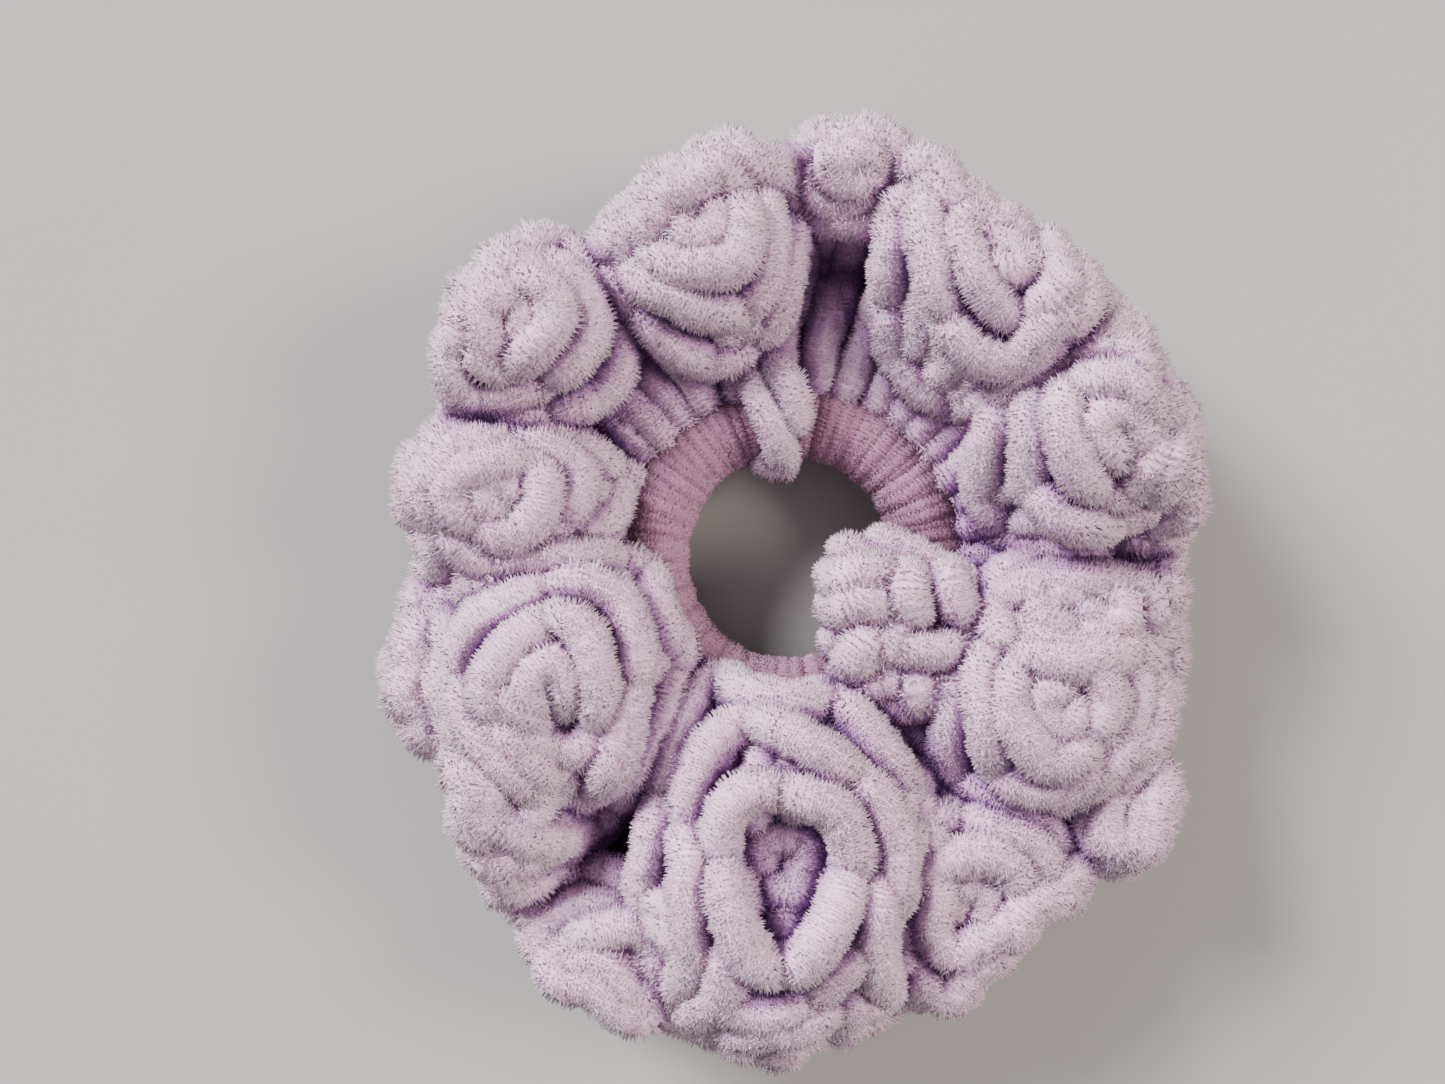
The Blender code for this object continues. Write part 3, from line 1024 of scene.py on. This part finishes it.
class ScrunchieStage(bpy.types.PropertyGroup):
    """The floor, the lights and the camera."""
    floor: colour("Floor", "Colour of the floor", (0.40, 0.39, 0.38))
    camera_height: length("Camera height", "Height of the camera above the floor", 0.300)
    view_angle: FloatProperty(name="View angle", description="Width of the camera's view",
                              default=math.radians(46.1), unit="ROTATION", subtype="ANGLE")
    key: FloatProperty(name="Key light", description="Strength of the main light", default=6.8, min=0.0)
    fill: FloatProperty(name="Fill light", description="Strength of the warm light opposite", default=2.6,
                        min=0.0)
    softness: FloatProperty(name="Softness", description="Breadth of each light as seen from the object",
                            default=math.radians(25.0), unit="ROTATION", subtype="ANGLE")
    sky: FloatProperty(name="Sky", description="Strength of the light from all round", default=0.50, min=0.0)


# ---- Operators ----

class SCRUNCHIE_OT_stage(bpy.types.Operator):
    """Makes the floor, the lights and the camera"""
    bl_idname = "scrunchie.stage"
    bl_label = "Stage"

    def execute(self, context):
        stage = context.scene.scrunchie_stage
        self.make_floor(context, stage)
        self.make_light(context, "key_light", stage.key, (-0.50, 0.45, 0.42), (1.0, 0.97, 0.99))
        self.make_light(context, "fill_light", stage.fill, (0.48, 0.05, 0.42), (1.0, 0.90, 0.82))
        world = bpy.data.worlds.new("soft_sky")
        world.use_nodes = True
        world.node_tree.nodes["Background"].inputs["Color"].default_value = (1.0, 0.97, 0.97, 1.0)
        world.node_tree.nodes["Background"].inputs["Strength"].default_value = stage.sky
        context.scene.world = world
        self.make_camera(context, stage)
        return {"FINISHED"}

    def make_floor(self, context, stage):
        mesh = bpy.data.meshes.new("floor")
        half = 8.0
        mesh.from_pydata([(-half, -half, 0), (half, -half, 0), (half, half, 0), (-half, half, 0)], [],
                         [(0, 1, 2, 3)])
        floor = bpy.data.objects.new("floor", mesh)
        context.scene.collection.objects.link(floor)
        material, tree, shader = new_material("pale_floor")
        grain = smooth_step(tree, noise_node(tree, 6.0, 4.0), 0.3, 0.7)
        pale = tuple(stage.floor)
        shader.inputs["Roughness"].default_value = 0.75
        link(tree, mix_node(tree, grain, (*pale, 1.0), (*[part * 0.97 for part in pale], 1.0)),
             shader.inputs["Base Color"])
        mesh.materials.append(material)

    def make_light(self, context, name, strength, place, tone):
        light = bpy.data.lights.new(name, "SUN")
        light.energy, light.angle, light.color = strength, context.scene.scrunchie_stage.softness, tone
        lamp = bpy.data.objects.new(name, light)
        context.scene.collection.objects.link(lamp)
        lamp.location = place
        lamp.rotation_euler = (-Vector(place)).to_track_quat("-Z", "Y").to_euler()

    def make_camera(self, context, stage):
        data = bpy.data.cameras.new("camera")
        data.angle = stage.view_angle
        data.clip_start, data.clip_end = 0.01, 20.0
        camera = bpy.data.objects.new("camera", data)
        context.scene.collection.objects.link(camera)
        aim = (RING_CENTRE + np.array([-11.2, 2.6, 0.0])) * MM
        camera.location = (aim[0], aim[1], stage.camera_height)
        context.scene.camera = camera


class SCRUNCHIE_OT_elastic(bpy.types.Operator):
    """Makes the hair elastic's rubber core and textile sheath, and finishes its glued joint"""
    bl_idname = "scrunchie.elastic"
    bl_label = "Elastic"

    def execute(self, context):
        sizes, colours = context.scene.scrunchie_yarn, context.scene.scrunchie_colours
        low, high = (np.array(corner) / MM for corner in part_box("elastic_core"))
        core_radius = (high[2] - low[2]) / 2
        low, high = (np.array(corner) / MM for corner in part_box("elastic_joint"))
        spare = math.degrees((high[0] - low[0]) / 2 / RING_RADIUS)
        for label, radius, tone, slot, rib in (
            ("elastic_core", core_radius, colours.latex, "latex", 900.0),
            ("elastic_sheath", SHEATH_RADIUS, colours.sheath, "knitted_sheath", 3000.0),
        ):
            material = knit_material(f"{slot}_finish", tuple(tone), rib)
            make_round("elastic", elastic_strands(radius, label, spare), material, slot, sizes, None,
                       label=label, nodes=label, piled=False)
        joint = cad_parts["elastic_joint"]
        joint.material_slots[0].material = knit_material("bond_finish", tuple(colours.bond), 1500.0)
        return {"FINISHED"}


class SCRUNCHIE_OT_collar(bpy.types.Operator):
    """Makes the foundation round, worked tightly over the elastic"""
    bl_idname = "scrunchie.collar"
    bl_label = "Collar"

    def execute(self, context):
        sizes, colours = context.scene.scrunchie_yarn, context.scene.scrunchie_colours
        work = crochet(sizes)
        # Painted shade and highlight: shaded and darkest copies of the collar colour at 0.75 and 0.40, and
        # the ruffle's lit colour as a painted highlight on the tips.
        shaded, deep_shade = (tuple(share * channel for channel in colours.collar) for share in (0.75, 0.40))
        material = yarn_material("foundation_yarn_finish_and_painted_shade", colours.collar, shaded, deep_shade, colours.lit,
                                 groove_spacing=0.6, sheen=0.1)
        make_round("collar", work["collar"], material, "foundation_yarn", sizes, work["clearance"])
        return {"FINISHED"}


class SCRUNCHIE_OT_slip_stitch(bpy.types.Operator):
    """Makes the stitch that closes the foundation round"""
    bl_idname = "scrunchie.slip_stitch"
    bl_label = "Slip stitch"

    def execute(self, context):
        sizes, colours = context.scene.scrunchie_yarn, context.scene.scrunchie_colours
        work = crochet(sizes)
        # The yarn's colour has painted shade in its hollows and a painted highlight at its tips.
        material = ruffle_material("slip_stitch_yarn_finish_and_painted_shade", colours)
        make_rider("slip_stitch_strands", "slip_stitch", "sector_12_left", work["slip_stitch"], material,
                   "slip_stitch_yarn", sizes, work["clearance"])
        return {"FINISHED"}


class SCRUNCHIE_OT_ruffle(bpy.types.Operator):
    """Makes the first round of the ruffle"""
    bl_idname = "scrunchie.ruffle"
    bl_label = "Ruffle"

    def execute(self, context):
        sizes, colours = context.scene.scrunchie_yarn, context.scene.scrunchie_colours
        work = crochet(sizes)
        # The yarn's colour has painted shade in its hollows and a painted highlight at its tips.
        material = ruffle_material("ruffle_yarn_finish", colours)
        make_round("ruffle", work["ruffle"], material, "ruffle_yarn", sizes, work["clearance"])
        return {"FINISHED"}


class SCRUNCHIE_OT_edge(bpy.types.Operator):
    """Makes the edge round of the ruffle"""
    bl_idname = "scrunchie.edge"
    bl_label = "Edge"

    def execute(self, context):
        sizes, colours = context.scene.scrunchie_yarn, context.scene.scrunchie_colours
        work = crochet(sizes)
        # Painted highlight: the edge round is the ruffle's yarn, with its lit colour made 5% lighter.
        bright = tuple(min(1.0, part * 1.05) for part in colours.lit)
        material = yarn_material("edge_yarn_finish", bright, colours.middle, colours.deep_shade, colours.pale)
        make_round("edge", work["edge"], material, "edge_yarn", sizes, work["clearance"])
        return {"FINISHED"}


class SCRUNCHIE_OT_inward_fold(bpy.types.Operator):
    """Makes the fold of the ruffle that lies over the collar and the hole"""
    bl_idname = "scrunchie.inward_fold"
    bl_label = "Inward fold"

    def execute(self, context):
        sizes, colours = context.scene.scrunchie_yarn, context.scene.scrunchie_colours
        work = crochet(sizes)
        # The yarn's colour has painted shade in its hollows and a painted highlight at its tips.
        material = ruffle_material("ruffle_yarn_finish", colours)
        make_rider("inward_fold_strands", "inward_fold", "sector_04", work["inward_fold"], material,
                   "ruffle_yarn", sizes, work["clearance"])
        return {"FINISHED"}


OPERATORS = (
    SCRUNCHIE_OT_stage, SCRUNCHIE_OT_elastic, SCRUNCHIE_OT_collar, SCRUNCHIE_OT_slip_stitch,
    SCRUNCHIE_OT_ruffle, SCRUNCHIE_OT_edge, SCRUNCHIE_OT_inward_fold,
)


class SCRUNCHIE_PT_panel(bpy.types.Panel):
    """Lists the scrunchie's settings and the steps that make it"""
    bl_idname = "SCRUNCHIE_PT_panel"
    bl_label = "Crocheted scrunchie"
    bl_space_type = "VIEW_3D"
    bl_region_type = "UI"
    bl_category = "Scrunchie"

    def draw(self, context):
        for group in (context.scene.scrunchie_yarn, context.scene.scrunchie_colours,
                      context.scene.scrunchie_stage):
            box = self.layout.box()
            for name in group.__annotations__:
                box.prop(group, name)
        for operator in OPERATORS:
            self.layout.operator(operator.bl_idname)


CLASSES = (ScrunchieYarn, ScrunchieColours, ScrunchieStage, *OPERATORS, SCRUNCHIE_PT_panel)


def register():
    for each in CLASSES:
        bpy.utils.register_class(each)
    bpy.types.Scene.scrunchie_yarn = PointerProperty(type=ScrunchieYarn)
    bpy.types.Scene.scrunchie_colours = PointerProperty(type=ScrunchieColours)
    bpy.types.Scene.scrunchie_stage = PointerProperty(type=ScrunchieStage)


def unregister():
    del bpy.types.Scene.scrunchie_yarn
    del bpy.types.Scene.scrunchie_colours
    del bpy.types.Scene.scrunchie_stage
    for each in reversed(CLASSES):
        bpy.utils.unregister_class(each)


def main():
    """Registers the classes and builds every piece."""
    register()
    bpy.ops.scrunchie.stage()
    bpy.ops.scrunchie.elastic()
    bpy.ops.scrunchie.collar()
    bpy.ops.scrunchie.slip_stitch()
    bpy.ops.scrunchie.ruffle()
    bpy.ops.scrunchie.edge()
    bpy.ops.scrunchie.inward_fold()


if __name__ == "__main__":
    main()
